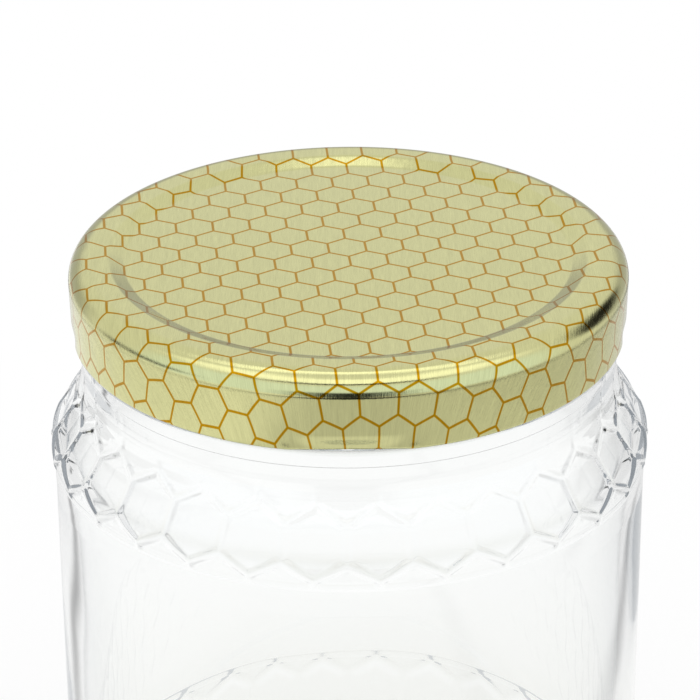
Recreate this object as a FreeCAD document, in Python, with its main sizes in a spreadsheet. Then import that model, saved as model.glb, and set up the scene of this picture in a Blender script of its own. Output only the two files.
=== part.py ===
import FreeCAD, Part

import math
import os

import Sketcher

# Honey jar of clear glass with a screwed-on tinplate lid, in millimetres.
# +Z points up, the origin is the middle of the jar's foot, and -Y is the front.
# Every length below is a driving size; all other lengths follow from them as expressions.
SIZES = {
    # overall glass
    "rim_height": 136.75,
    "neck_diameter": 82.0,
    "shoulder_step": 5.35,
    "shoulder_slope": 34.2,
    "shoulder_round": 5.0,
    "neck_round": 14.0,
    "heel_round": 9.0,
    # walls and inside
    "wall": 2.9,
    "base_thickness": 5.0,
    "rim_width": 3.1,
    "inner_heel_round": 8.0,
    "inner_round": 7.0,
    # foot
    "foot_width": 3.5,
    "punt_rise": 1.5,
    "punt_slope": 1.5,
    # finish under the lid
    "rim_round": 1.2,
    "finish_inset": 1.3,
    "bead_proud": 0.3,
    "bead_width": 2.6,
    "bead_round": 0.8,
    "bead_low_round": 0.25,
    "neck_length": 6.0,
    # label panel and honeycomb relief
    "label_inset": 0.6,
    "label_ramp": 4.3,
    "cells_around": 30,
    "lower_rows": 3,
    "lower_start": 9.6,
    "upper_skirt": 3.84,
    "band_edge": 1.8,
    "ridge_width": 1.0,
    "cell_depth": 0.5,
    "first_row_lean": 28.0,
    "second_row_lean": 11.4,
    "fade_height": 2.5,
    # thread
    "closure_ways": 4,
    "thread_depth": 1.2,
    "thread_root_height": 2.0,
    "thread_crest_height": 1.2,
    "thread_arc": 50.0,
    # lid
    "sheet": 0.25,
    "lid_height": 12.2,
    "lid_round": 3.35,
    "skirt_taper": 0.33,
    "curl_radius": 0.6,
    "curl_clearance": 0.2,
    "panel_drop": 0.95,
    "step_gap": 0.2,
    "step_width": 2.5,
    "step_round": 1.5,
    "lug_grip": 0.75,
    "lug_arc": 24.0,
    "lug_lift": 0.2,
    "lug_height": 1.5,
    "lug_clearance": 0.3,
    "lug_flat_depth": 0.95,
    "bead_clearance": 0.4,
}

# Cuts reach this far past the surface they leave.
CUT_REACH = 4.0

doc = FreeCAD.newDocument("HoneyJar")

sheet = doc.addObject("Spreadsheet::Sheet", "Sizes")
for row, (name, value) in enumerate(SIZES.items(), start=1):
    sheet.set(f"A{row}", name)
    sheet.set(f"B{row}", str(value))
    sheet.setAlias(f"B{row}", name)
doc.recompute()

# Radii and heights that several pieces share.
neck_radius = "(Sizes.neck_diameter / 2)"
bead_radius = f"({neck_radius} + Sizes.bead_proud)"
finish_radius = f"({neck_radius} - Sizes.finish_inset)"
bore_radius = f"({finish_radius} - Sizes.rim_width)"
crest_radius = f"({finish_radius} + Sizes.thread_depth)"
band_radius = f"({neck_radius} + Sizes.shoulder_step)"
label_radius = f"({band_radius} - Sizes.label_inset)"
inner_radius = f"({label_radius} - Sizes.wall)"
slope = "(Sizes.shoulder_slope * 1deg)"
half_slope = "(Sizes.shoulder_slope / 2 * 1deg)"

lid_top = "(Sizes.rim_height + Sizes.sheet)"
lid_low = f"({lid_top} - Sizes.lid_height)"
lug_low = f"({lid_low} + Sizes.lug_lift)"
lug_top = f"({lug_low} + Sizes.lug_height)"
bead_top = f"({lid_low} - Sizes.bead_clearance)"
bead_low = f"({bead_top} - Sizes.bead_width)"
neck_corner = f"({bead_low} - Sizes.neck_length)"
shoulder_corner = f"({neck_corner} - Sizes.shoulder_step / tan({slope}))"
inner_shoulder = f"({shoulder_corner} - ({band_radius} - {inner_radius}) * tan({half_slope}))"
inner_neck = f"({inner_shoulder} + ({inner_radius} - {bore_radius}) / tan({slope}))"
upper_foot = f"({shoulder_corner} - Sizes.upper_skirt)"
label_high = f"({upper_foot} - Sizes.label_ramp)"

# Honeycomb lattice: pointed cells, so a row is one and a half sides above the last.
cell_side = f"(2 * pi * {band_radius} / Sizes.cells_around / sqrt(3))"
row_pitch = f"(1.5 * {cell_side})"
half_cell = "(180 / Sizes.cells_around)"
cell_tip = f"({cell_side} - Sizes.ridge_width / sqrt(3))"
lower_peaks = f"(Sizes.lower_start + 2 * {cell_side} + (Sizes.lower_rows - 1) * {row_pitch})"
lower_top = f"({lower_peaks} + Sizes.band_edge)"
label_low = f"({lower_top} + Sizes.label_ramp)"


def origin_feature(body, role):
    return next(item for item in body.Origin.OriginFeatures if item.Role == role)


def turned_plane(body, name, degrees):
    """A datum plane through the axis, the XZ plane turned about Z by an expression."""
    plane = body.newObject("PartDesign::Plane", name)
    plane.AttachmentSupport = [(origin_feature(body, "XZ_Plane"), "")]
    plane.MapMode = "FlatFace"
    plane.AttachmentOffset = FreeCAD.Placement(
        FreeCAD.Vector(), FreeCAD.Rotation(FreeCAD.Vector(0, 1, 0), 1)
    )
    plane.setExpression(".AttachmentOffset.Rotation.Angle", degrees)
    return plane


def new_sketch(body, name, plane, up="0", out="0", lean="0deg"):
    """An empty sketch on a plane, moved up it and out of it, and leaned back."""
    sketch = body.newObject("Sketcher::SketchObject", name)
    sketch.AttachmentSupport = [(plane, "")]
    sketch.MapMode = "FlatFace"
    sketch.AttachmentOffset = FreeCAD.Placement(
        FreeCAD.Vector(), FreeCAD.Rotation(FreeCAD.Vector(-1, 0, 0), 1)
    )
    sketch.setExpression(".AttachmentOffset.Rotation.Angle", lean)
    sketch.setExpression(".AttachmentOffset.Base.y", up)
    sketch.setExpression(".AttachmentOffset.Base.z", out)
    return sketch


def pin(sketch, geometry, point, across, up):
    """Hold one point of the sketch at two distances from its origin."""
    for kind, expression in (("DistanceX", across), ("DistanceY", up)):
        index = sketch.addConstraint(Sketcher.Constraint(kind, -1, 1, geometry, point, 1.0))
        sketch.setExpression(f"Constraints[{index}]", expression)


def draw_polygon(sketch, corners):
    """A closed polygon whose corners are pairs of expressions."""
    count = len(corners)
    ring = [
        FreeCAD.Vector(math.cos(math.tau * step / count), math.sin(math.tau * step / count), 0)
        for step in range(count)
    ]
    for step in range(count):
        sketch.addGeometry(Part.LineSegment(ring[step], ring[(step + 1) % count]), False)
    for step in range(count):
        sketch.addConstraint(Sketcher.Constraint("Coincident", step, 2, (step + 1) % count, 1))
    for step, (across, up) in enumerate(corners):
        pin(sketch, step, 1, across, up)


def draw_circle(sketch, across, up, radius):
    circle = Part.Circle(FreeCAD.Vector(1, 1, 0), FreeCAD.Vector(0, 0, 1), 1)
    sketch.addGeometry(circle, False)
    pin(sketch, 0, 3, across, up)
    index = sketch.addConstraint(Sketcher.Constraint("Radius", 0, 1.0))
    sketch.setExpression(f"Constraints[{index}]", radius)


def revolve(body, name, sketch, degrees=None):
    """Turn a sketch about Z: all the way, or by an expression to both sides alike."""
    turned = body.newObject("PartDesign::Revolution", name)
    turned.Profile = sketch
    turned.ReferenceAxis = (origin_feature(body, "Z_Axis"), [""])
    if degrees:
        turned.Midplane = True
        turned.setExpression("Angle", degrees)
    doc.recompute()
    return turned


def round_edge(body, name, sketch, step, radius):
    """Round the circular edge that one corner of a revolved sketch draws."""
    base = body.Tip
    corner = sketch.Geometry[step].StartPoint
    near = 0.001
    edges = [
        f"Edge{index}"
        for index, edge in enumerate(base.Shape.Edges, start=1)
        if isinstance(edge.Curve, Part.Circle)
        and abs(edge.Curve.Radius - corner.x) < near
        and abs(edge.Curve.Center.z - corner.y) < near
    ]
    fillet = body.newObject("PartDesign::Fillet", name)
    fillet.Base = (base, edges)
    fillet.setExpression("Radius", radius)
    doc.recompute()


def turned_body(name, corners, rounds):
    """A body revolved from named corners, some of them rounded."""
    body = doc.addObject("PartDesign::Body", name)
    sketch = new_sketch(body, f"{name}_profile", origin_feature(body, "XZ_Plane"))
    draw_polygon(sketch, list(corners.values()))
    revolve(body, f"{name}_turned", sketch)
    order = list(corners)
    for corner, radius in rounds.items():
        round_edge(body, f"{name}_{corner}_round", sketch, order.index(corner), radius)
    return body


def repeat(body, name, features, count):
    """Repeat features evenly about Z."""
    pattern = body.newObject("PartDesign::PolarPattern", name)
    pattern.Originals = features
    pattern.Axis = (origin_feature(body, "Z_Axis"), [""])
    pattern.Angle = 360
    pattern.setExpression("Occurrences", count)
    pattern.Refine = False
    body.Tip = pattern
    doc.recompute()


def cut_around(body, name, plane, corners, radius, height, lean="0deg"):
    """Cut one flat-floored cell outwards from its floor, all the way round the body."""
    sketch = new_sketch(body, f"{name}_outline", plane, up=height, out=radius, lean=lean)
    draw_polygon(sketch, corners)
    doc.recompute()
    pocket = body.newObject("PartDesign::Pocket", name)
    pocket.Profile = sketch
    pocket.Reversed = True
    pocket.Length = CUT_REACH
    pocket.Refine = False
    doc.recompute()
    repeat(body, f"{name}_ring", [pocket], "Sizes.cells_around")


def cell_half_width(radius, up, lean):
    """Half the width of a cell at a height above its middle, where it may lean in."""
    local = f"({radius} - {up} * sin({lean}))"
    return f"({local} * tan({half_cell} * 1deg) - Sizes.ridge_width / 2)"


def cell_corners(radius, lean="0deg"):
    """Corners of one cell, half a ridge inside the lattice lines."""
    side = f"({cell_tip} / 2)"
    high = cell_half_width(radius, side, lean)
    low = cell_half_width(radius, f"(-{side})", lean)
    return [
        ("0", cell_tip),
        (f"-{high}", side),
        (f"-{low}", f"-{side}"),
        ("0", f"-{cell_tip}"),
        (low, f"-{side}"),
        (high, side),
    ]


def build_glass():
    """The plain glass: foot, walls, label panel, shoulder, neck, bead and rim."""
    corners = {
        "heel": (band_radius, "0"),
        "lower_top": (band_radius, lower_top),
        "label_low": (label_radius, label_low),
        "label_high": (label_radius, label_high),
        "upper_foot": (band_radius, upper_foot),
        "shoulder": (band_radius, shoulder_corner),
        "neck": (neck_radius, neck_corner),
        "bead_root": (neck_radius, bead_low),
        "bead_low": (bead_radius, bead_low),
        "bead_high": (bead_radius, bead_top),
        "finish": (finish_radius, bead_top),
        "rim_outside": (finish_radius, "Sizes.rim_height"),
        "rim_inside": (bore_radius, "Sizes.rim_height"),
        "inner_neck": (bore_radius, inner_neck),
        "inner_shoulder": (inner_radius, inner_shoulder),
        "inner_heel": (inner_radius, "Sizes.base_thickness"),
        "inner_middle": ("0", "Sizes.base_thickness"),
        "punt_middle": ("0", "Sizes.punt_rise"),
        "punt_edge": (
            f"{band_radius} - Sizes.heel_round - Sizes.foot_width - Sizes.punt_slope",
            "Sizes.punt_rise",
        ),
        "foot_inside": (f"{band_radius} - Sizes.heel_round - Sizes.foot_width", "0"),
    }
    rounds = {
        "heel": "Sizes.heel_round",
        "shoulder": "Sizes.shoulder_round",
        "neck": "Sizes.neck_round",
        "bead_low": "Sizes.bead_low_round",
        "bead_high": "Sizes.bead_round",
        "rim_outside": "Sizes.rim_round",
        "rim_inside": "Sizes.rim_round",
        "inner_neck": "Sizes.inner_round",
        "inner_shoulder": "Sizes.inner_round",
        "inner_heel": "Sizes.inner_heel_round",
    }
    return turned_body("jar", corners, rounds)


def build_thread(body):
    """Four short level thread ridges on the finish, each above one lug of the lid."""
    root = "(Sizes.thread_root_height / 2)"
    crest = "(Sizes.thread_crest_height / 2)"
    middle = f"({lug_top} + Sizes.lug_clearance + {root})"
    inside = f"({finish_radius} - Sizes.rim_round / 2)"
    sketch = new_sketch(body, "thread_profile", origin_feature(body, "XZ_Plane"), up=middle)
    outline = [(inside, f"-{root}"), (crest_radius, f"-{crest}"), (crest_radius, crest), (inside, root)]
    draw_polygon(sketch, outline)
    doc.recompute()
    thread = revolve(body, "thread", sketch, "Sizes.thread_arc")
    repeat(body, "threads", [thread], "Sizes.closure_ways")


def build_honeycomb(body):
    """Flat-floored cells round the lower band and up the shoulder, with ridges between them."""
    straight = origin_feature(body, "XZ_Plane")
    between = turned_plane(body, "half_cell", half_cell)
    planes = (between, straight)
    floor = f"({band_radius} - Sizes.cell_depth)"
    for row in range(int(sheet.get("lower_rows"))):
        height = f"(Sizes.lower_start + {cell_side} + {row} * {row_pitch})"
        cells = cell_corners(band_radius)
        cut_around(body, f"lower_cells_{row + 1}", planes[row % 2], cells, floor, height)

    # The first shoulder row's middle lies one side above its lowest corner, round the shoulder.
    lowest = f"({upper_foot} + Sizes.band_edge)"
    up_slope = f"({cell_side} + {lowest} - {shoulder_corner})"
    first_radius = f"({band_radius} - {up_slope} * sin({slope}))"
    first_height = f"({shoulder_corner} + {up_slope} * cos({slope}))"
    lean = "(Sizes.first_row_lean * 1deg)"
    floor = f"({first_radius} - Sizes.cell_depth * cos({slope}))"
    floor_height = f"({first_height} - Sizes.cell_depth * sin({slope}))"
    cells = cell_corners(first_radius, lean)
    cut_around(body, "shoulder_cells_1", between, cells, floor, floor_height, lean)

    # The second row starts between the peaks of the first and fades out on the neck round.
    lean = "(Sizes.second_row_lean * 1deg)"
    side = "(Sizes.ridge_width / sqrt(3) / 2)"
    height = f"({first_height} + {cell_side} * cos({slope}))"
    round_middle = f"({neck_radius} + Sizes.neck_round * (1 / cos({half_slope}) - 1))"
    floor = f"({round_middle} - ({height} - {neck_corner}) * tan({lean}))"
    low = cell_half_width(floor, side, lean)
    high = cell_half_width(floor, "Sizes.fade_height", lean)
    cells = [
        ("0", f"-({cell_tip} - {cell_side} / 2)"),
        (low, side),
        (high, "Sizes.fade_height"),
        (f"-{high}", "Sizes.fade_height"),
        (f"-{low}", side),
    ]
    cut_around(body, "shoulder_cells_2", straight, cells, floor, height, lean)


def build_jar():
    """The glass with its honeycomb bands and threads, one piece."""
    body = build_glass()
    build_thread(body)
    build_honeycomb(body)
    return body


def build_lid():
    """The tinplate lid: stepped panel, skirt, inward curl and four pressed-in lugs."""
    skirt_low = f"({crest_radius} + Sizes.curl_clearance + 2 * Sizes.curl_radius)"
    skirt_high = f"({skirt_low} + Sizes.skirt_taper)"
    step_outside = f"({bore_radius} - Sizes.step_gap)"
    step_inside = f"({step_outside} - Sizes.step_width)"
    panel_top = f"({lid_top} - Sizes.panel_drop)"
    curl_height = f"({lid_low} + Sizes.curl_radius)"
    corners = {
        "panel_middle": ("0", panel_top),
        "step_low": (step_inside, panel_top),
        "step_high": (step_outside, lid_top),
        "edge": (skirt_high, lid_top),
        "skirt_low": (skirt_low, curl_height),
        "skirt_low_inside": (f"{skirt_low} - Sizes.sheet", curl_height),
        "edge_inside": (f"{skirt_high} - Sizes.sheet", "Sizes.rim_height"),
        "step_high_inside": (step_outside, "Sizes.rim_height"),
        "step_low_inside": (step_inside, f"{panel_top} - Sizes.sheet"),
        "panel_middle_inside": ("0", f"{panel_top} - Sizes.sheet"),
    }
    rounds = {
        "edge": "Sizes.lid_round",
        "edge_inside": "Sizes.lid_round - Sizes.sheet",
        "step_low": "Sizes.step_round - Sizes.sheet",
        "step_low_inside": "Sizes.step_round",
        "step_high": "Sizes.step_round",
        "step_high_inside": "Sizes.step_round - Sizes.sheet",
    }
    body = turned_body("lid", corners, rounds)
    plane = origin_feature(body, "XZ_Plane")

    curl_middle = f"({skirt_low} - Sizes.curl_radius)"
    curl_sketch = new_sketch(body, "curl_profile", plane)
    draw_circle(curl_sketch, curl_middle, curl_height, "Sizes.curl_radius")
    doc.recompute()
    revolve(body, "curl", curl_sketch)

    lug_tip = f"({crest_radius} - Sizes.lug_grip)"
    lug_root = f"({skirt_low} - Sizes.sheet / 2)"
    lug_sketch = new_sketch(body, "lug_profile", plane)
    lug_outline = [(lug_tip, lug_low), (lug_root, lug_low), (lug_root, lug_top), (lug_tip, lug_top)]
    draw_polygon(lug_sketch, lug_outline)
    doc.recompute()
    lug = revolve(body, "lug", lug_sketch, "Sizes.lug_arc")

    flat_radius = f"({skirt_low} - Sizes.lug_flat_depth)"
    flat_half = f"sqrt({skirt_low} ^ 2 - {flat_radius} ^ 2) + Sizes.curl_radius"
    flat_sketch = new_sketch(body, "flat_outline", origin_feature(body, "YZ_Plane"), out=flat_radius)
    flat_low = f"{lid_low} - Sizes.curl_radius"
    flat_top = f"{curl_height} + Sizes.curl_radius"
    flat_outline = [
        (f"-({flat_half})", flat_low),
        (flat_half, flat_low),
        (flat_half, flat_top),
        (f"-({flat_half})", flat_top),
    ]
    draw_polygon(flat_sketch, flat_outline)
    doc.recompute()
    flat = body.newObject("PartDesign::Pocket", "flat")
    flat.Profile = flat_sketch
    flat.Reversed = True
    flat.Length = CUT_REACH
    doc.recompute()
    repeat(body, "lugs", [lug, flat], "Sizes.closure_ways")
    return body


def check_and_write(pieces):
    """Stop on any broken object, then write each piece under its own name."""
    doc.recompute()
    for item in doc.Objects:
        broken = [state for state in item.State if state in ("Invalid", "Error")]
        if broken:
            raise RuntimeError(f"{item.Name} is {broken}: {item.getStatusString()}")
    os.makedirs("parts", exist_ok=True)
    for piece in pieces:
        shape = piece.Shape
        if shape.isNull() or not shape.isValid():
            raise RuntimeError(f"{piece.Label} has no valid shape")
        shape.exportStep(f"parts/{piece.Label}.step")
        solids = len(shape.Solids)
        print(f"{piece.Label}: {solids} solid, {shape.Volume / 1000:.1f} cm3, {shape.BoundBox}")


jar = build_jar()
jar.Label = "jar"
jar.Placement = FreeCAD.Placement()
lid = build_lid()
lid.Label = "lid"
lid.Placement = FreeCAD.Placement()
check_and_write([jar, lid])
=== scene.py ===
"""Looks of the honey jar: clear glass with honeycomb relief and a printed pale gold lid."""

import math

import bpy
import numpy as np
from mathutils import Matrix, Vector


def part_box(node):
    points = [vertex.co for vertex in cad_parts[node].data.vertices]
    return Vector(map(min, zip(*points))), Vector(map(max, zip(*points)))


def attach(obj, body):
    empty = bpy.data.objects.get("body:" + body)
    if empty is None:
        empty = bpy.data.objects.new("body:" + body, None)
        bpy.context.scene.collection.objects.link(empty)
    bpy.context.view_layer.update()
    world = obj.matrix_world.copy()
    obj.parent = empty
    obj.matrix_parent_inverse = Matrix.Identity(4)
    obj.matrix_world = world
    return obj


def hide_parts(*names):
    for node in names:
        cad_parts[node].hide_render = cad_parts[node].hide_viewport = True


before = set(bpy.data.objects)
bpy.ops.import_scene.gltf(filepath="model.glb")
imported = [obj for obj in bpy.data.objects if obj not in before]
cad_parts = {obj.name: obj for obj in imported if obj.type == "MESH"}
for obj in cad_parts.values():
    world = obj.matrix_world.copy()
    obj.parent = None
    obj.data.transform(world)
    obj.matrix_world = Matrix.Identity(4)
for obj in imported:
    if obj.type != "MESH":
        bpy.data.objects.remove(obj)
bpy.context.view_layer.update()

# Lengths of the jar are in millimetres in the frame's axes; meshes are scaled to metres when made.
MM = 0.001
_, jar_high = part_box("jar")
lid_low, lid_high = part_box("lid")
BAND_RADIUS = jar_high.x / MM
RIM_HEIGHT = jar_high.z / MM
LID_TOP = lid_high.z / MM
LID_EDGE = lid_low.z / MM
AXIS_GAP = 0.5  # Outlines stop at this radius and a fan of faces closes them

# Glass
SHOULDER_STEP = 5.35
NECK_RADIUS = BAND_RADIUS - SHOULDER_STEP
SHOULDER_SLOPE = math.radians(34.2)
LABEL_RADIUS = BAND_RADIUS - 0.6
LABEL_RAMP = 4.3
WALL = 2.9
INNER_RADIUS = LABEL_RADIUS - WALL
BORE_RADIUS = 36.6
FINISH_RADIUS = 39.7
RIM_ROUND = 1.2
BEAD_RADIUS = NECK_RADIUS + 0.3
BEAD_TOP = LID_EDGE - 0.4
BEAD_LOW = BEAD_TOP - 2.6
NECK_CORNER = BEAD_LOW - 6.0
SHOULDER_CORNER = NECK_CORNER - SHOULDER_STEP / math.tan(SHOULDER_SLOPE)
HEEL_ROUND = 9.0
FOOT_WIDTH = 3.5
FOOT_ROUND = 1.5
PUNT_SLOPE = 2.5
PUNT_RISE = 1.5
BASE_THICKNESS = 5.0
JAR_COLUMNS = 1080
RELIEF_STEP = 0.25
PLAIN_STEP = 1.5

# Honeycomb relief
CELLS_AROUND = 30
CELL_WIDTH = math.tau * BAND_RADIUS / CELLS_AROUND
CELL_SIDE = CELL_WIDTH / math.sqrt(3)
ROW_PITCH = 1.5 * CELL_SIDE
LOWER_ROWS = 3
LOWER_START = 9.6
LOWER_PEAKS = LOWER_START + 2 * CELL_SIDE + (LOWER_ROWS - 1) * ROW_PITCH
LOWER_FLANK = 1.6
UPPER_ROWS = 8
UPPER_START = SHOULDER_CORNER - 2.04
UPPER_FLANK = 0.95
UPPER_FADE = (8.0, 14.0)  # Rise along the shoulder over which the upper relief runs out
UPPER_FADE_SHARE = 0.95
UPPER_END = 1.2
BAND_EDGE = 1.8
LOWER_FADE = (LOWER_START - BAND_EDGE, LOWER_START + 0.3)
BAND_LIP = 0.5
EDGE_DROP = 0.5
RELIEF_DEPTH = 0.28
FACET_FLATNESS = 0.5  # 0 follows the round of the jar, 1 is flat
TENT_DEPTH = 0.10
TENT_EXTRA = 0.3
CREST = 0.08
RELIEF_TURN = math.radians(-0.6)

# Waves of the inside: each is (height, waves around, start, climb along the height)
WAVES = ((0.10, 2, 0.6, 31), (0.06, 5, 1.9, -17), (0.035, 9, 0.0, 9))
WAVES_END = (NECK_CORNER - 6, NECK_CORNER + 4)
WAVES_FULL_RADIUS = INNER_RADIUS * 0.8

# Lid
SHEET = 0.25
SKIRT_LOW = 42.3
SKIRT_HIGH = SKIRT_LOW + 0.33
LID_ROUND = 3.35
PANEL_DROP = 0.95
STEP_HIGH_RADIUS = 36.4
STEP_LOW_RADIUS = 33.9
STEP_HIGH_ROUND = 1.5
STEP_LOW_ROUND = 1.3
CURL_RADIUS = 0.6
LID_COLUMNS = 900
SKIRT_STEP = 0.35
CURL_STEP = 0.2
LID_INSIDE_STEP = 0.8
CURL_ZONE = 2

# Lugs of the lid, and the threads over them
LUG_COUNT = 4
LUG_FLAT = SKIRT_LOW - 0.95
LUG_REACH = (LID_EDGE + 0.3, LID_EDGE + 3.0)
DIMPLE_DEPTH = 0.14
DIMPLE_AT = math.radians(11.5)
DIMPLE_WIDTH = 2.2
DIMPLE_HEIGHT = LID_EDGE + 1.9
DIMPLE_TALL = 1.9
THREAD_RISE = 1.2
THREAD_HEIGHT = LID_EDGE + 2.6
THREAD_ENDS = (math.radians(22), math.radians(26))
THREAD_SIDES = (0.5, 1.1)

# Print on the lid, in the flat sheet before it was drawn into shape
PRINT_WIDTH = 5.69
PRINT_TURN = 0.092
PRINT_ORIGIN = (-30.46, -9.44)
PRINT_LINE = 0.36
PRINT_BLUR = (PRINT_LINE / 2 - 0.05, PRINT_LINE / 2 + 0.07)
PRINT_SPREAD = math.radians(3.5)
PRINT_SPREAD_ZONE = (-7, 8)  # Along the sheet, from where the panel starts to round down
PRINT_SLIP = 0.9
PRINT_SLIP_ZONE = (-2, 3)
PRINT_SLIP_BALANCE = 0.27
SHEET_UV_SPAN = 110.0

# Colours and finish
GOLD = (0.60, 0.59, 0.29, 1)
GOLD_INSIDE = (0.62, 0.60, 0.36)
INK = (0.43, 0.225, 0.0, 1)
GRAIN_HEIGHT = 0.25
GRAIN_HEIGHT_INSIDE = 0.15
GRAIN_DISTANCE = 0.0001
GRAIN_STRETCH = (7.0, 0.35, 0)
BROAD_STRETCH = (1.6, 0.05, 0)
GRAIN_TONE = (0.3, 0.7, 0.9, 1.08)
BROAD_TONE = (0.3, 0.7, 0.96, 1.03)
GRAIN_ROUGHNESS = (0.3, 0.7, 0.06, 0.11)
GOLD_ANISOTROPY = 0.5
GLASS = (0.995, 1.0, 0.995, 1)
GLASS_IOR = 1.52
GLASS_RIPPLE_SCALE = 60.0
GLASS_RIPPLE = 0.03
GLASS_RIPPLE_DISTANCE = 0.001
CAUGHT_AFTER = 4.5
# Grey tint of rays caught long in the glass wall: painted shade
CAUGHT_TINT = (0.68, 0.7, 0.72, 1)
WHITE = (1, 1, 1, 1)

# Stage. A fade is (start, end, value at the start, value at the end). A band is (middle, distance
# up to which it is full, distance at which it is gone, strength).
# Floor, in metres from the jar's axis
FLOOR_RADIUS = 0.5
FLOOR_SIDES = 96
FLOOR_MATTE = (0.9, 0.9, 0.9, 1)
FLOOR_LIT = (0.08, 0.25, 0.7, 1.0)
# Painted reflections: the floor's glow as only gloss sees it, with a painted dark ring and painted dark
# towards the front
SHEEN = 0.74
SHEEN_LEFT = (-0.04, -0.2, 0.0, 0.4)
SHEEN_RIGHT = (0.06, 0.2, 0.0, 0.1)
SHEEN_NEAR = (0.2, 0.1, 0.0, 0.25)
SHEEN_RING = (0.325, 0.012, 0.03, 0.7)
PAINTED_DARK_FRONT = (-0.315, -0.34, 0.0, 1.0)
PAINTED_DARK_FRONT_FLANK = (0.04, 0.14, 1.0, 0.0)
# Painted shade, seen only through the glass: two dark patches on the floor
LEFT_DARK_PATCH_PLACE = (-0.0935, 0.074, 0)
LEFT_DARK_PATCH_NORMAL = (0.743, 0.669, 0)
LEFT_DARK_PATCH = (0.0, 0.0, 0.019, 0.95)
LEFT_DARK_PATCH_SIDE = (-0.075, -0.09, 0.0, 1.0)
RIGHT_DARK_PATCH = (0.122, 0.0, 0.02, 0.75)
DARK_PATCHES_END = (0.2, 0.15, 0.0, 1.0)
# Seen only through the glass: greyer near the jar as a painted shadow of the jar, greyer to the sides, and
# warmer near the jar
THROUGH_NEAR = (0.06, 0.15, 0.95, 1.02)
THROUGH_FLANK = (0.055, 0.12, 1.0, 0.85)
WARM_NEAR = (0.06, 0.16, 1.0, 0.0)
WARM_TINT = (1, 1, 0.955, 1)

# World, in parts of a direction of length one: up is Z, depth is Y, away from the camera
WALL_LIGHT = 0.97
SOFTBOX_LIGHT = 0.66
SOFTBOX_LOW = (0.6, 0.78, 0.0, 1.0)
SOFTBOX_TOP = (0.92, 0.97, 1.0, 0.1)
SOFTBOX_DEPTH = (0.1, -0.1, 0.0, 1.0)
BACK_RING = (0.935, 0.02, 0.055, 1.25)
BACK_RING_DEPTH = (0.03, 0.16, 0.0, 1.0)
LOW_BACK_UP = (0.4, 0.15, 0.0, 1.0)
LOW_BACK_DEPTH = (0.4, 0.7, 0.0, 1.0)
LOW_BACK_LIGHT = 0.6
FRONT_DEPTH = (0.1, -0.3, 0.0, 1.0)
GAP = (0.71, 0.025, 0.05, 1.0)
GAP_FLANK = (0.3, 0.65, 1.0, 0.0)
ROOM_UP = (0.0, 0.17, 1.0, 0.0)
ROOM_FLANK = (0.18, 0.45, 1.0, 0.0)
DARK_RIGHT_WAY = (0.86, 0.46, 0.2)
DARK_RIGHT = (0.92, 0.98, 0.0, 1.0)
DARK_LEFT_UP = (-0.14, 0.04, 0.1, 1.0)
DARK_LEFT_SIDE = (-0.88, -0.97, 0.0, 1.0)
DARK_LIGHT = 0.03
THROUGH_EVENED = 0.6
COOL_UP = (0.66, 0.5, 0.0, 1.0)
COOL_TINT = (1.08, 1.2, 1.34, 1)

# Camera: place in millimetres, lens and sensor as Blender has them, clipping in metres
LENS = 176.6
SENSOR_WIDTH = 36.0
CLIP_START = 0.01
CLIP_END = 50.0
PITCH = math.radians(26.62)
ROLL = -0.007
CAMERA_PLACE = (0.16, -472.4, LID_EDGE + 232.1)


def rounded(corners, arc_step=math.radians(5)):
    """Points of an open outline; each corner is (radius, height, rounding) and rounds as an arc."""
    points = [Vector(corners[0][:2])]
    for before, corner, after in zip(corners, corners[1:], corners[2:]):
        here = Vector(corner[:2])
        rounding = corner[2]
        if not rounding:
            points.append(here)
            continue
        back = (Vector(before[:2]) - here).normalized()
        on = (Vector(after[:2]) - here).normalized()
        half = back.angle(on) / 2
        middle = here + (back + on).normalized() * rounding / math.sin(half)
        start = here + back * rounding / math.tan(half) - middle
        end = here + on * rounding / math.tan(half) - middle
        sweep = start.angle_signed(end)
        steps = max(2, math.ceil(abs(sweep) / arc_step))
        for step in range(steps + 1):
            turned = start.copy()
            turned.rotate(Matrix.Rotation(-sweep * step / steps, 2))
            points.append(middle + turned)
    points.append(Vector(corners[-1][:2]))
    return points


def subdivided(points, step_at):
    """The same outline with steps no longer than step_at(height)."""
    fine = [points[0]]
    for start, end in zip(points, points[1:]):
        length = (end - start).length
        if length < 1e-6:
            continue
        count = max(1, math.ceil(length / step_at((start.y + end.y) / 2)))
        fine += [start.lerp(end, k / count) for k in range(1, count + 1)]
    return np.array([tuple(point) for point in fine])


def outline_normals(outline):
    """Unit normals to the right of the way the outline runs, in radius and height."""
    along = np.gradient(outline, axis=0)
    along /= np.linalg.norm(along, axis=1)[:, None]
    return np.stack([along[:, 1], -along[:, 0]], axis=1)


def outline_lengths(outline):
    """Length along the outline at each of its points."""
    steps = np.linalg.norm(np.diff(outline, axis=0), axis=1)
    return np.concatenate([[0.0], np.cumsum(steps)])


def smooth_step(low, high, value):
    """0 up to low, 1 from high on, and smooth between them."""
    share = np.clip((value - low) / (high - low), 0, 1)
    return share * share * (3 - 2 * share)


def angles(columns):
    """Angles round the axis from the front, -Y, towards +X."""
    return np.arange(columns) * math.tau / columns


def from_lug(theta):
    """Angle from the nearest lug; one lug is at the front."""
    pitch = math.tau / LUG_COUNT
    return np.mod(theta + pitch / 2, pitch) - pitch / 2


def add_object(name, data):
    """A new object in the scene that shows the data."""
    made = bpy.data.objects.new(name, data)
    bpy.context.scene.collection.objects.link(made)
    return made


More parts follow.
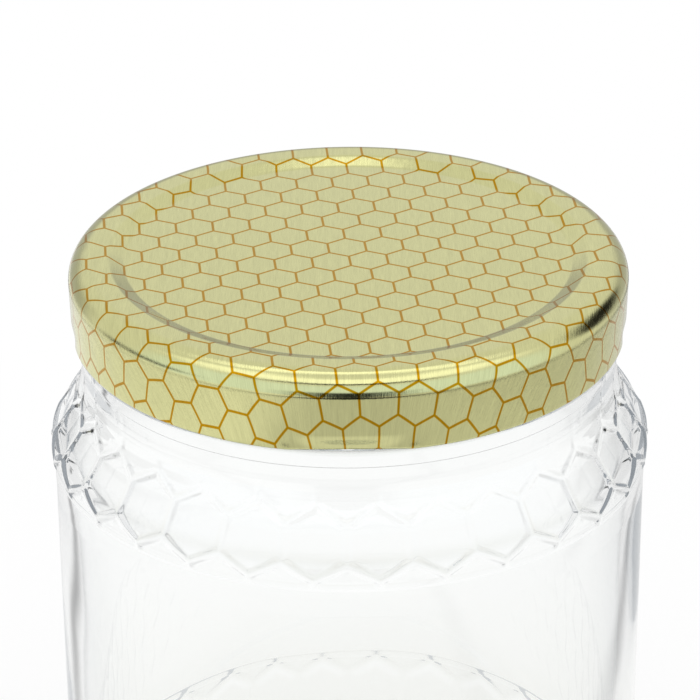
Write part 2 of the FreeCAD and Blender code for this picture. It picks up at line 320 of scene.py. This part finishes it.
def turned_solid(name, radius, height, theta):
    """A closed mesh from grids of radius and height; the first and last rows meet the axis."""
    rows, columns = radius.shape
    ring = np.stack([radius * np.sin(theta), -radius * np.cos(theta), height], axis=2)
    poles = np.array([[0, 0, height[0].mean()], [0, 0, height[-1].mean()]])
    points = np.concatenate([ring.reshape(-1, 3), poles]) * MM
    here = np.arange(columns)
    after = (here + 1) % columns
    base = (np.arange(rows - 1) * columns)[:, None]
    quads = np.stack([base + here, base + after, base + columns + after, base + columns + here], axis=2)
    first, last = rows * columns, rows * columns + 1
    low_fan = np.stack([after, here, np.full(columns, first)], axis=1)
    top = (rows - 1) * columns
    high_fan = np.stack([top + here, top + after, np.full(columns, last)], axis=1)
    faces = quads.reshape(-1, 4).tolist() + low_fan.tolist() + high_fan.tolist()
    mesh = bpy.data.meshes.new(name)
    mesh.from_pydata(points.tolist(), [], faces)
    mesh.polygons.foreach_set("use_smooth", [True] * len(mesh.polygons))
    mesh.update()
    return add_object(name, mesh)


def honeycomb(across, up):
    """Distance to the nearest lattice line, distance across the cell, and the cell's row."""
    best = np.full(np.broadcast(across, up).shape, np.inf)
    offset_x = np.zeros_like(best)
    offset_y = np.zeros_like(best)
    row_found = np.zeros_like(best)
    nearest = np.round(up / ROW_PITCH)
    for shift in (-1, 0, 1):
        row = nearest + shift
        dy = up - row * ROW_PITCH
        stagger = np.mod(row, 2) * CELL_WIDTH / 2
        dx = np.mod(across - stagger + CELL_WIDTH / 2, CELL_WIDTH) - CELL_WIDTH / 2
        gap = dx * dx + dy * dy
        closer = gap < best
        best = np.where(closer, gap, best)
        offset_x = np.where(closer, dx, offset_x)
        offset_y = np.where(closer, dy, offset_y)
        row_found = np.where(closer, row, row_found)
    slanted = np.abs(offset_x) / 2 + np.abs(offset_y) * math.sqrt(3) / 2
    edge = CELL_WIDTH / 2 - np.maximum(np.abs(offset_x), slanted)
    return edge, offset_x, row_found


def relief_depth(across, up, rows, end_rise, flank):
    """How far the surface sinks between ridges; up runs from the band's first low corner."""
    edge, offset, row = honeycomb(across, up - CELL_SIDE)
    facet = RELIEF_DEPTH - FACET_FLATNESS * offset ** 2 / (2 * BAND_RADIUS)
    # Outside the whole rows only tents are left; they run out at the band's edges.
    half_side = CELL_SIDE / 2
    tent = TENT_DEPTH + TENT_EXTRA * np.clip((half_side - end_rise) / (half_side + BAND_EDGE), 0, 1)
    drop = EDGE_DROP * np.clip((-BAND_LIP - end_rise) / (BAND_EDGE - BAND_LIP), 0, 1)
    inside = (row >= 0) & (row < rows)
    depth = np.where(inside, facet, np.maximum(tent - drop, 0))
    return depth * smooth_step(CREST, flank, edge)


def jar_outline():
    """Outside from the middle of the foot up over the rim, and the inside down to the floor."""
    foot_inside = BAND_RADIUS - HEEL_ROUND - FOOT_WIDTH
    label_low = LOWER_PEAKS + BAND_EDGE + LABEL_RAMP
    label_high = UPPER_START - BAND_EDGE - LABEL_RAMP
    tangent = math.tan(SHOULDER_SLOPE / 2)
    inner_shoulder = SHOULDER_CORNER - (BAND_RADIUS - INNER_RADIUS) * tangent
    inner_neck = inner_shoulder + (INNER_RADIUS - BORE_RADIUS) / math.tan(SHOULDER_SLOPE)
    rim = [(FINISH_RADIUS, RIM_HEIGHT, RIM_ROUND), (BORE_RADIUS, RIM_HEIGHT, RIM_ROUND)]
    outside_corners = [
        (AXIS_GAP, PUNT_RISE, 0),
        (foot_inside - PUNT_SLOPE, PUNT_RISE, FOOT_ROUND),
        (foot_inside, 0, FOOT_ROUND),
        (BAND_RADIUS, 0, HEEL_ROUND),
        (BAND_RADIUS, LOWER_PEAKS + BAND_LIP, 1.5),
        (BAND_RADIUS - EDGE_DROP, LOWER_PEAKS + BAND_EDGE, 0.8),
        (LABEL_RADIUS, label_low, 12),
        (LABEL_RADIUS, label_high, 12),
        (BAND_RADIUS - EDGE_DROP, UPPER_START - BAND_EDGE, 0.8),
        (BAND_RADIUS, UPPER_START - BAND_LIP, 1.5),
        (BAND_RADIUS, SHOULDER_CORNER, 4.0),
        (NECK_RADIUS, NECK_CORNER, 14.0),
        (NECK_RADIUS, BEAD_LOW, 0),
        (BEAD_RADIUS, BEAD_LOW + 0.15, 0.3),
        (BEAD_RADIUS, BEAD_TOP, 0.8),
        (FINISH_RADIUS, BEAD_TOP + 0.4, 0.6),
        *rim,
    ]
    inside_corners = [
        *rim,
        (BORE_RADIUS, inner_neck, 7.0),
        (INNER_RADIUS, inner_shoulder, 7.0),
        (INNER_RADIUS, BASE_THICKNESS, 8.0),
        (AXIS_GAP, BASE_THICKNESS, 0),
    ]

    def step_at(height):
        in_lower = LOWER_START - BAND_EDGE < height < LOWER_PEAKS + BAND_EDGE
        in_upper = UPPER_START - BAND_EDGE < height < BEAD_LOW
        return RELIEF_STEP if in_lower or in_upper else PLAIN_STEP

    outside = subdivided(rounded(outside_corners), step_at)
    inside = subdivided(rounded(inside_corners), lambda height: PLAIN_STEP)
    # The inside starts on the rim, past its outer rounding, which the outside has.
    on_rim = np.argmax(inside[:, 0] < FINISH_RADIUS - RIM_ROUND - 0.4)
    return outside, inside[on_rim:]


def relief(outside, theta):
    """Depth of both honeycomb bands, for each point of the outside outline and each angle."""
    radius, height = outside.T
    length = outline_lengths(outside)
    below_finish = radius > FINISH_RADIUS
    across = (theta - RELIEF_TURN)[None, :] * BAND_RADIUS + CELL_WIDTH / 2

    up = height[:, None]
    lower = relief_depth(across, up - LOWER_START, LOWER_ROWS, LOWER_PEAKS - up, LOWER_FLANK)
    lower_share = smooth_step(*LOWER_FADE, height)
    lower_share *= below_finish & (height > LOWER_START - BAND_EDGE) & (height < LOWER_PEAKS + BAND_EDGE)

    start = np.interp(UPPER_START, height[below_finish], length[below_finish])
    rise = (length - start)[:, None]
    upper = relief_depth(across, rise, UPPER_ROWS, rise, UPPER_FLANK)
    upper_share = 1 - UPPER_FADE_SHARE * smooth_step(*UPPER_FADE, length - start)
    upper_share *= 1 - smooth_step(BEAD_LOW - UPPER_END, BEAD_LOW, height)
    upper_share *= below_finish & (height > UPPER_START - BAND_EDGE) & (height < BEAD_LOW)
    return lower * lower_share[:, None] + upper * upper_share[:, None]


def thread_rise(outside, theta):
    """Four short thread ridges on the finish, each over a lug of the lid."""
    radius, height = outside[:, :1], outside[:, 1:]
    ends = 1 - smooth_step(*THREAD_ENDS, np.abs(from_lug(theta)))
    sides = 1 - smooth_step(*THREAD_SIDES, np.abs(height - THREAD_HEIGHT))
    on_finish = np.abs(radius - FINISH_RADIUS) < 0.01
    return THREAD_RISE * ends * sides * on_finish


def blown_waves(inside, theta):
    """How far the inside, which was blown, stands off its outline."""
    radius, height = inside[:, :1], inside[:, 1:]
    wave = sum(size * np.sin(around * theta + start + height / climb) for size, around, start, climb in WAVES)
    below_neck = 1 - smooth_step(*WAVES_END, height)
    return wave * below_neck * smooth_step(0, WAVES_FULL_RADIUS, radius)


def make_jar():
    outside, inside = jar_outline()
    theta = angles(JAR_COLUMNS)
    depth = relief(outside, theta) - thread_rise(outside, theta)
    outer = outside[:, :, None] - depth[:, None, :] * outline_normals(outside)[:, :, None]
    inner_radius = inside[:, :1] + blown_waves(inside, theta)
    inner_height = inside[:, 1:] + np.zeros(JAR_COLUMNS)
    radius = np.concatenate([outer[:, 0], inner_radius])
    height = np.concatenate([outer[:, 1], inner_height])
    return turned_solid("jar_glass", radius, height, theta)


def lid_outline():
    """Outside of the sheet from the middle to the curl, and its inside back to the middle."""
    panel = LID_TOP - PANEL_DROP
    curl_inside = SKIRT_LOW - 2 * CURL_RADIUS
    curl_round = CURL_RADIUS * 0.95
    curl_top = LID_EDGE + 2 * CURL_RADIUS
    outside = [
        (AXIS_GAP, panel, 0),
        (STEP_LOW_RADIUS, panel, STEP_LOW_ROUND),
        (STEP_HIGH_RADIUS, LID_TOP, STEP_HIGH_ROUND),
        (SKIRT_HIGH, LID_TOP, LID_ROUND),
        (SKIRT_LOW, LID_EDGE, curl_round),
        (curl_inside, LID_EDGE, curl_round),
        (curl_inside, LID_EDGE + CURL_RADIUS, 0),
    ]
    inside = [
        (curl_inside, LID_EDGE + CURL_RADIUS, 0),
        (curl_inside, curl_top, CURL_RADIUS * 0.6),
        (SKIRT_LOW - SHEET, curl_top + 0.1, 0.2),
        (SKIRT_HIGH - SHEET, RIM_HEIGHT, LID_ROUND - SHEET),
        (STEP_HIGH_RADIUS, RIM_HEIGHT, STEP_LOW_ROUND),
        (STEP_LOW_RADIUS, panel - SHEET, STEP_HIGH_ROUND),
        (AXIS_GAP, panel - SHEET, 0),
    ]

    def step_at(height):
        return SKIRT_STEP if height > LID_EDGE + CURL_ZONE else CURL_STEP

    outer = subdivided(rounded(outside), step_at)
    inner = subdivided(rounded(inside), lambda height: LID_INSIDE_STEP)
    return outer, inner[1:]


def press_lugs(radius, height, theta):
    """Push the curl in to a flat over each lug and dimple the skirt at the lug's ends."""
    turn = from_lug(theta)
    over = np.maximum(SKIRT_LOW - LUG_FLAT / np.cos(turn), 0)
    reach = 1 - smooth_step(*LUG_REACH, height)
    end = (np.abs(turn) - DIMPLE_AT) * SKIRT_LOW / DIMPLE_WIDTH
    rise = (height - DIMPLE_HEIGHT) / DIMPLE_TALL
    dimple = DIMPLE_DEPTH * np.exp(-(end ** 2) - rise ** 2)
    on_edge = radius > SKIRT_LOW - 2.5 * CURL_RADIUS
    return radius - (over * reach + dimple) * on_edge


def flat_sheet(outer, inner, theta):
    """Where each point lay in the flat sheet, as X and Y: drawing keeps the sheet's area."""
    middle = (outer[1:, 0] + outer[:-1, 0]) / 2
    lengths = outline_lengths(outer)
    area = np.concatenate([[0.0], np.cumsum(middle * np.diff(lengths))])
    flat = np.sqrt(outer[0, 0] ** 2 + 2 * area)
    flat = np.concatenate([flat, np.interp(inner[::-1, 0], outer[:, 0], flat)[::-1]])
    past_edge = lengths - np.interp(SKIRT_HIGH - LID_ROUND, outer[:, 0], lengths)
    # The inside has no print, so it stays out of both zones.
    past_edge = np.concatenate([past_edge, np.full(len(inner), PRINT_SPREAD_ZONE[0])])[:, None]

    # The sheet slipped a little towards the front in the die, which spread the print there.
    slip = PRINT_SLIP * smooth_step(*PRINT_SLIP_ZONE, past_edge) * (np.cos(theta) - PRINT_SLIP_BALANCE)
    spread = PRINT_SPREAD * smooth_step(*PRINT_SPREAD_ZONE, past_edge) * np.sin(theta)
    flat = flat[:, None] + slip
    return flat * np.sin(theta - spread), -flat * np.cos(theta - spread)


def add_sheet_uv(mesh, flat_x, flat_y):
    """A UV map of the flat sheet; the two points on the axis lie in its middle."""
    points = np.concatenate([np.stack([flat_x.ravel(), flat_y.ravel()], axis=1), np.zeros((2, 2))])
    corner = np.zeros(len(mesh.loops), dtype=np.int32)
    mesh.loops.foreach_get("vertex_index", corner)
    uv = mesh.uv_layers.new(name="flat_sheet")
    uv.data.foreach_set("uv", (points[corner] / SHEET_UV_SPAN + 0.5).ravel())


def make_lid():
    outer, inner = lid_outline()
    outline = np.concatenate([outer, inner])
    theta = angles(LID_COLUMNS)
    height = outline[:, 1:] + np.zeros(LID_COLUMNS)
    radius = press_lugs(outline[:, :1] + np.zeros(LID_COLUMNS), height, theta)
    piece = turned_solid("lid_sheet", radius, height, theta)
    mesh = piece.data
    add_sheet_uv(mesh, *flat_sheet(outer, inner, theta))

    # The sheet's inside is lacquered but not printed.
    face_row = np.arange(len(mesh.polygons)) // LID_COLUMNS
    is_inside = (face_row >= len(outer)) & (face_row < len(outline) - 1)
    mesh.materials.append(gold_print_material())
    mesh.materials.append(gold_plain_material())
    mesh.polygons.foreach_set("material_index", is_inside.astype(np.int32))
    return piece


class Nodes:
    """Short calls for making and joining shader nodes."""

    def __init__(self, tree):
        self.tree = tree
        tree.nodes.clear()

    def add(self, kind, inputs=None, **settings):
        made = self.tree.nodes.new(kind)
        for key, value in settings.items():
            setattr(made, key, value)
        for key, value in (inputs or {}).items():
            if isinstance(value, bpy.types.NodeSocket):
                self.tree.links.new(value, made.inputs[key])
            else:
                made.inputs[key].default_value = value
        return made

    def math(self, operation, first, *others):
        """One operation on a single value, or on several values in turn."""
        for other in others or [0.0]:
            first = self.add("ShaderNodeMath", {0: first, 1: other}, operation=operation).outputs[0]
        return first

    def vector(self, operation, *vectors):
        made = self.add("ShaderNodeVectorMath", dict(enumerate(vectors)), operation=operation)
        return made.outputs["Value"] if operation in ("LENGTH", "DOT_PRODUCT") else made.outputs[0]

    def scaled(self, vector, factor):
        made = self.add("ShaderNodeVectorMath", {0: vector, "Scale": factor}, operation="SCALE")
        return made.outputs[0]

    def mix(self, kind, share, first, second):
        """A mix of two values, each a FLOAT, a VECTOR or an RGBA colour."""
        slot = ("FLOAT", "VECTOR", "RGBA").index(kind)
        inputs = {0: share, 2 * slot + 2: first, 2 * slot + 3: second}
        return self.add("ShaderNodeMix", inputs, data_type=kind).outputs[slot]

    def ramp(self, value, low, high, to_low=0.0, to_high=1.0, kind="SMOOTHSTEP"):
        inputs = {"Value": value, "From Min": low, "From Max": high, "To Min": to_low, "To Max": to_high}
        return self.add("ShaderNodeMapRange", inputs, interpolation_type=kind).outputs["Result"]

    def band(self, value, middle, full, gone, strength):
        """Strength round a middle value; it runs out between two distances from it."""
        distance = self.math("ABSOLUTE", self.math("SUBTRACT", value, middle))
        return self.ramp(distance, full, gone, strength, 0.0)

    def noise(self, vector, scale, detail=2.0, roughness=0.5):
        inputs = {"Vector": vector, "Scale": scale, "Detail": detail, "Roughness": roughness}
        return self.add("ShaderNodeTexNoise", inputs).outputs["Fac"]

    def split(self, vector):
        return self.add("ShaderNodeSeparateXYZ", {0: vector}).outputs

    def rays(self):
        """Which ray it is: from the camera, reflected only, or come through the glass."""
        path = self.add("ShaderNodeLightPath").outputs
        through = path["Is Transmission Ray"]
        # A ray that comes out of the glass counts as both glossy and transmitted.
        gloss = self.math("MAXIMUM", self.math("SUBTRACT", path["Is Glossy Ray"], through), 0.0)
        return path["Is Camera Ray"], gloss, through


def new_material(name):
    material = bpy.data.materials.new(name)
    material.use_nodes = True
    return material, Nodes(material.node_tree)


def glass_material():
    material, nodes = new_material("clear_glass")
    place = nodes.add("ShaderNodeTexCoord").outputs["Object"]
    ripple = nodes.noise(place, GLASS_RIPPLE_SCALE, 1.0)
    bump = nodes.add(
        "ShaderNodeBump",
        {"Height": ripple, "Strength": GLASS_RIPPLE, "Distance": GLASS_RIPPLE_DISTANCE},
    )
    shader = nodes.add(
        "ShaderNodeBsdfPrincipled",
        {
            "Base Color": GLASS,
            "Roughness": 0.0,
            "IOR": GLASS_IOR,
            "Transmission Weight": 1.0,
            "Normal": bump.outputs["Normal"],
        },
    )
    # Rays caught in the wall for long leave it straight, as they would through some other place, dimmed by a
    # grey tint that is painted shade.
    depth = nodes.add("ShaderNodeLightPath").outputs["Ray Depth"]
    caught = nodes.math("GREATER_THAN", depth, CAUGHT_AFTER)
    straight = nodes.add("ShaderNodeBsdfTransparent", {"Color": CAUGHT_TINT})
    mixed = nodes.add("ShaderNodeMixShader", {0: caught, 1: shader.outputs[0], 2: straight.outputs[0]})
    nodes.add("ShaderNodeOutputMaterial", {"Surface": mixed.outputs[0]})
    return material


def sheet_place(nodes):
    """The shaded point's place in the flat sheet, in millimetres from the map's corner."""
    uv = nodes.add("ShaderNodeUVMap", uv_map="flat_sheet").outputs["UV"]
    return nodes.vector("MULTIPLY", uv, (SHEET_UV_SPAN, SHEET_UV_SPAN, 0))


def brushed_gold(nodes, flat, color, grain_height):
    """Satin lacquered sheet, rolled along the flat sheet's Y, with a fine streaked grain."""
    grain = nodes.noise(nodes.vector("MULTIPLY", flat, GRAIN_STRETCH), 1.0, 4.0, 0.6)
    broad = nodes.noise(nodes.vector("MULTIPLY", flat, BROAD_STRETCH), 1.0)
    grain_tone = nodes.ramp(grain, *GRAIN_TONE, "LINEAR")
    tone = nodes.math("MULTIPLY", grain_tone, nodes.ramp(broad, *BROAD_TONE, "LINEAR"))
    bump = nodes.add(
        "ShaderNodeBump", {"Height": grain, "Strength": grain_height, "Distance": GRAIN_DISTANCE}
    )
    tangent = nodes.add("ShaderNodeTangent", direction_type="UV_MAP", uv_map="flat_sheet")
    shader = nodes.add(
        "ShaderNodeBsdfPrincipled",
        {
            "Base Color": nodes.scaled(color, tone),
            "Metallic": 1.0,
            "Roughness": nodes.ramp(grain, *GRAIN_ROUGHNESS, "LINEAR"),
            "Anisotropic": GOLD_ANISOTROPY,
            "Tangent": tangent.outputs[0],
            "Normal": bump.outputs["Normal"],
        },
    )
    nodes.add("ShaderNodeOutputMaterial", {"Surface": shader.outputs["BSDF"]})


def print_lines(nodes, flat):
    """Share of ink at a point of the flat sheet: thin lines on a hexagon lattice."""
    half = PRINT_WIDTH / 2
    tall = half * math.sqrt(3)
    origin = (PRINT_ORIGIN[0] + SHEET_UV_SPAN / 2, PRINT_ORIGIN[1] + SHEET_UV_SPAN / 2, 0)
    turned = nodes.add(
        "ShaderNodeVectorRotate",
        {"Vector": nodes.vector("SUBTRACT", flat, origin), "Angle": -PRINT_TURN},
        rotation_type="Z_AXIS",
    )
    even = nodes.vector("SUBTRACT", turned.outputs[0], (half, 0, 0))
    odd = nodes.vector("SUBTRACT", even, (half, tall, 0))
    # Each point folds to the nearest middle of a hexagon, which is in an even or an odd row.
    first, second = (nodes.vector("WRAP", row, (half, tall, 1), (-half, -tall, -1)) for row in (even, odd))
    nearer = nodes.math("LESS_THAN", nodes.vector("LENGTH", second), nodes.vector("LENGTH", first))
    folded = nodes.vector("ABSOLUTE", nodes.mix("VECTOR", nearer, first, second))
    slanted = nodes.vector("DOT_PRODUCT", folded, (0.5, math.sqrt(3) / 2, 0))
    upright = nodes.vector("DOT_PRODUCT", folded, (1, 0, 0))
    edge = nodes.math("SUBTRACT", half, nodes.math("MAXIMUM", slanted, upright))
    return nodes.ramp(edge, *PRINT_BLUR, 1.0, 0.0)


def gold_print_material():
    material, nodes = new_material("gold_lacquer")
    flat = sheet_place(nodes)
    printed = nodes.mix("RGBA", print_lines(nodes, flat), GOLD, INK)
    brushed_gold(nodes, flat, printed, GRAIN_HEIGHT)
    return material


def gold_plain_material():
    material, nodes = new_material("gold_lacquer_inside")
    brushed_gold(nodes, sheet_place(nodes), GOLD_INSIDE, GRAIN_HEIGHT_INSIDE)
    return material


def floor_in_gloss(nodes, away, side, depth, flank):
    """Brightness of the floor in reflections, a painted reflection: paler near the jar and to the sides, with
    a painted dark ring and painted dark towards the front.
    """
    sheen = nodes.math(
        "ADD",
        SHEEN,
        nodes.ramp(side, *SHEEN_LEFT),
        nodes.ramp(away, *SHEEN_NEAR),
        nodes.ramp(side, *SHEEN_RIGHT),
    )
    sheen = nodes.math("SUBTRACT", sheen, nodes.band(away, *SHEEN_RING))
    painted_dark_front = nodes.math("MULTIPLY", nodes.ramp(depth, *PAINTED_DARK_FRONT), nodes.ramp(flank, *PAINTED_DARK_FRONT_FLANK))
    return nodes.math("MULTIPLY", sheen, nodes.math("SUBTRACT", 1.0, painted_dark_front))


def floor_through_glass(nodes, place, away, side, depth, flank):
    """Brightness of the floor seen through the glass, painted shade: greyer near the jar as a painted shadow
    of the jar, greyer to the sides, and two painted dark patches.
    """
    from_left_patch = nodes.vector("SUBTRACT", place, LEFT_DARK_PATCH_PLACE)
    left_dark_patch = nodes.band(nodes.vector("DOT_PRODUCT", from_left_patch, LEFT_DARK_PATCH_NORMAL), *LEFT_DARK_PATCH)
    left_dark_patch = nodes.math("MULTIPLY", left_dark_patch, nodes.ramp(side, *LEFT_DARK_PATCH_SIDE))
    dark_patches = nodes.math("ADD", left_dark_patch, nodes.band(side, *RIGHT_DARK_PATCH))
    dark_patches = nodes.math("MULTIPLY", dark_patches, nodes.ramp(depth, *DARK_PATCHES_END))
    near = nodes.math("MULTIPLY", nodes.ramp(away, *THROUGH_NEAR), nodes.ramp(flank, *THROUGH_FLANK))
    return nodes.math("MULTIPLY", near, nodes.math("SUBTRACT", 1.0, dark_patches))


def floor_material():
    material, nodes = new_material("floor")
    place = nodes.add("ShaderNodeTexCoord").outputs["Object"]
    away = nodes.vector("LENGTH", place)
    side, depth, _ = nodes.split(place)
    flank = nodes.math("ABSOLUTE", side)
    camera, gloss, through = nodes.rays()
    # The floor glows, though it is no lamp: white to the eye, a painted reflection in gloss and painted shade
    # through the glass
    in_gloss = nodes.math("MULTIPLY", gloss, floor_in_gloss(nodes, away, side, depth, flank))
    seen_through = floor_through_glass(nodes, place, away, side, depth, flank)
    glow = nodes.math("MAXIMUM", in_gloss, nodes.math("MULTIPLY", through, seen_through), camera)
    warm = nodes.math("MULTIPLY", through, nodes.ramp(away, *WARM_NEAR))
    tint = nodes.mix("RGBA", warm, WHITE, WARM_TINT)
    floor_glow = nodes.add("ShaderNodeEmission", {"Color": tint, "Strength": glow})
    matte = nodes.add("ShaderNodeBsdfDiffuse", {"Color": FLOOR_MATTE})
    seen = nodes.math("MAXIMUM", camera, gloss, through)
    share = nodes.math("MULTIPLY", seen, nodes.ramp(away, *FLOOR_LIT))
    mixed = nodes.add("ShaderNodeMixShader", {0: share, 1: matte.outputs[0], 2: floor_glow.outputs[0]})
    nodes.add("ShaderNodeOutputMaterial", {"Surface": mixed.outputs[0]})
    return material


def make_floor():
    """A round floor, white to the eye, with painted reflections in gloss and painted shade through the glass.
    """
    mesh = bpy.data.meshes.new("floor")
    rim = [(FLOOR_RADIUS * math.sin(t), -FLOOR_RADIUS * math.cos(t), 0) for t in angles(FLOOR_SIDES)]
    mesh.from_pydata(rim, [], [tuple(range(len(rim)))])
    mesh.materials.append(floor_material())
    floor = add_object("floor", mesh)


def lit_walls(nodes, depth, up):
    """Brightness of the walls, with a softbox over the camera and a lit ring behind the jar."""
    softbox = nodes.math("MULTIPLY", nodes.ramp(up, *SOFTBOX_LOW), nodes.ramp(up, *SOFTBOX_TOP))
    softbox = nodes.math("MULTIPLY", softbox, nodes.ramp(depth, *SOFTBOX_DEPTH))
    ring = nodes.math("MULTIPLY", nodes.band(up, *BACK_RING), nodes.ramp(depth, *BACK_RING_DEPTH))
    lamps = nodes.math("MULTIPLY", nodes.math("ADD", softbox, ring), SOFTBOX_LIGHT)
    low_back = nodes.math("MULTIPLY", nodes.ramp(up, *LOW_BACK_UP), nodes.ramp(depth, *LOW_BACK_DEPTH))
    dimmed = nodes.ramp(low_back, 0.0, 1.0, 1.0, LOW_BACK_LIGHT, "LINEAR")
    return nodes.math("MULTIPLY", nodes.math("ADD", WALL_LIGHT, lamps), dimmed)


def dark_parts(nodes, way, side, up, front):
    """Share of dark: a gap in the softbox, the low room in front, and a place at each side."""
    flank = nodes.math("ABSOLUTE", side)
    gap = nodes.math("MULTIPLY", nodes.band(up, *GAP), front, nodes.ramp(flank, *GAP_FLANK))
    room = nodes.math("MULTIPLY", nodes.ramp(up, *ROOM_UP), front, nodes.ramp(flank, *ROOM_FLANK))
    right = nodes.ramp(nodes.vector("DOT_PRODUCT", way, DARK_RIGHT_WAY), *DARK_RIGHT)
    left = nodes.math("MULTIPLY", nodes.band(up, *DARK_LEFT_UP), nodes.ramp(side, *DARK_LEFT_SIDE))
    return nodes.math("MAXIMUM", gap, room, right, left)


def make_world():
    """A studio, white to the eye. Gloss sees its lamps and dark parts, and glass some of them."""
    world = bpy.data.worlds.new("studio")
    bpy.context.scene.world = world
    world.use_nodes = True
    nodes = Nodes(world.node_tree)
    way = nodes.add("ShaderNodeTexCoord").outputs["Generated"]
    side, depth, up = nodes.split(way)
    front = nodes.ramp(depth, *FRONT_DEPTH)
    dark = nodes.ramp(dark_parts(nodes, way, side, up, front), 0.0, 1.0, 1.0, DARK_LIGHT, "LINEAR")
    light = nodes.math("MULTIPLY", lit_walls(nodes, depth, up), dark)

    camera, gloss, through = nodes.rays()
    evened = nodes.math("MULTIPLY", through, THROUGH_EVENED)
    plain = nodes.math("MULTIPLY", nodes.math("SUBTRACT", WALL_LIGHT, light), evened)
    strength = nodes.mix("FLOAT", camera, nodes.math("ADD", light, plain), 1.0)
    cool = nodes.math("MULTIPLY", nodes.ramp(up, *COOL_UP), front, gloss)
    tint = nodes.mix("RGBA", cool, WHITE, COOL_TINT)
    back = nodes.add("ShaderNodeBackground", {"Color": tint, "Strength": strength})
    nodes.add("ShaderNodeOutputWorld", {"Surface": back.outputs[0]})


def make_camera():
    """The photograph's view: over the lid from the front, tilted down, turned a little."""
    data = bpy.data.cameras.new("camera")
    data.sensor_width = SENSOR_WIDTH
    data.lens = LENS
    data.clip_start = CLIP_START
    data.clip_end = CLIP_END
    camera = add_object("camera", data)
    ahead = Vector((0, math.cos(PITCH), -math.sin(PITCH)))
    level = Vector((1, 0, 0))
    upright = Vector((0, math.sin(PITCH), math.cos(PITCH)))
    right = math.cos(ROLL) * level + math.sin(ROLL) * upright
    above = -math.sin(ROLL) * level + math.cos(ROLL) * upright
    placed = Matrix((right, above, -ahead)).transposed().to_4x4()
    placed.translation = Vector(CAMERA_PLACE) * MM
    camera.matrix_world = placed
    bpy.context.scene.camera = camera


make_world()
make_floor()
make_camera()

jar = make_jar()
jar.data.materials.append(glass_material())
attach(jar, "root")
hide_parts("jar")

lid = make_lid()
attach(lid, "root")
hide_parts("lid")

bpy.context.scene.view_settings.view_transform = "Standard"
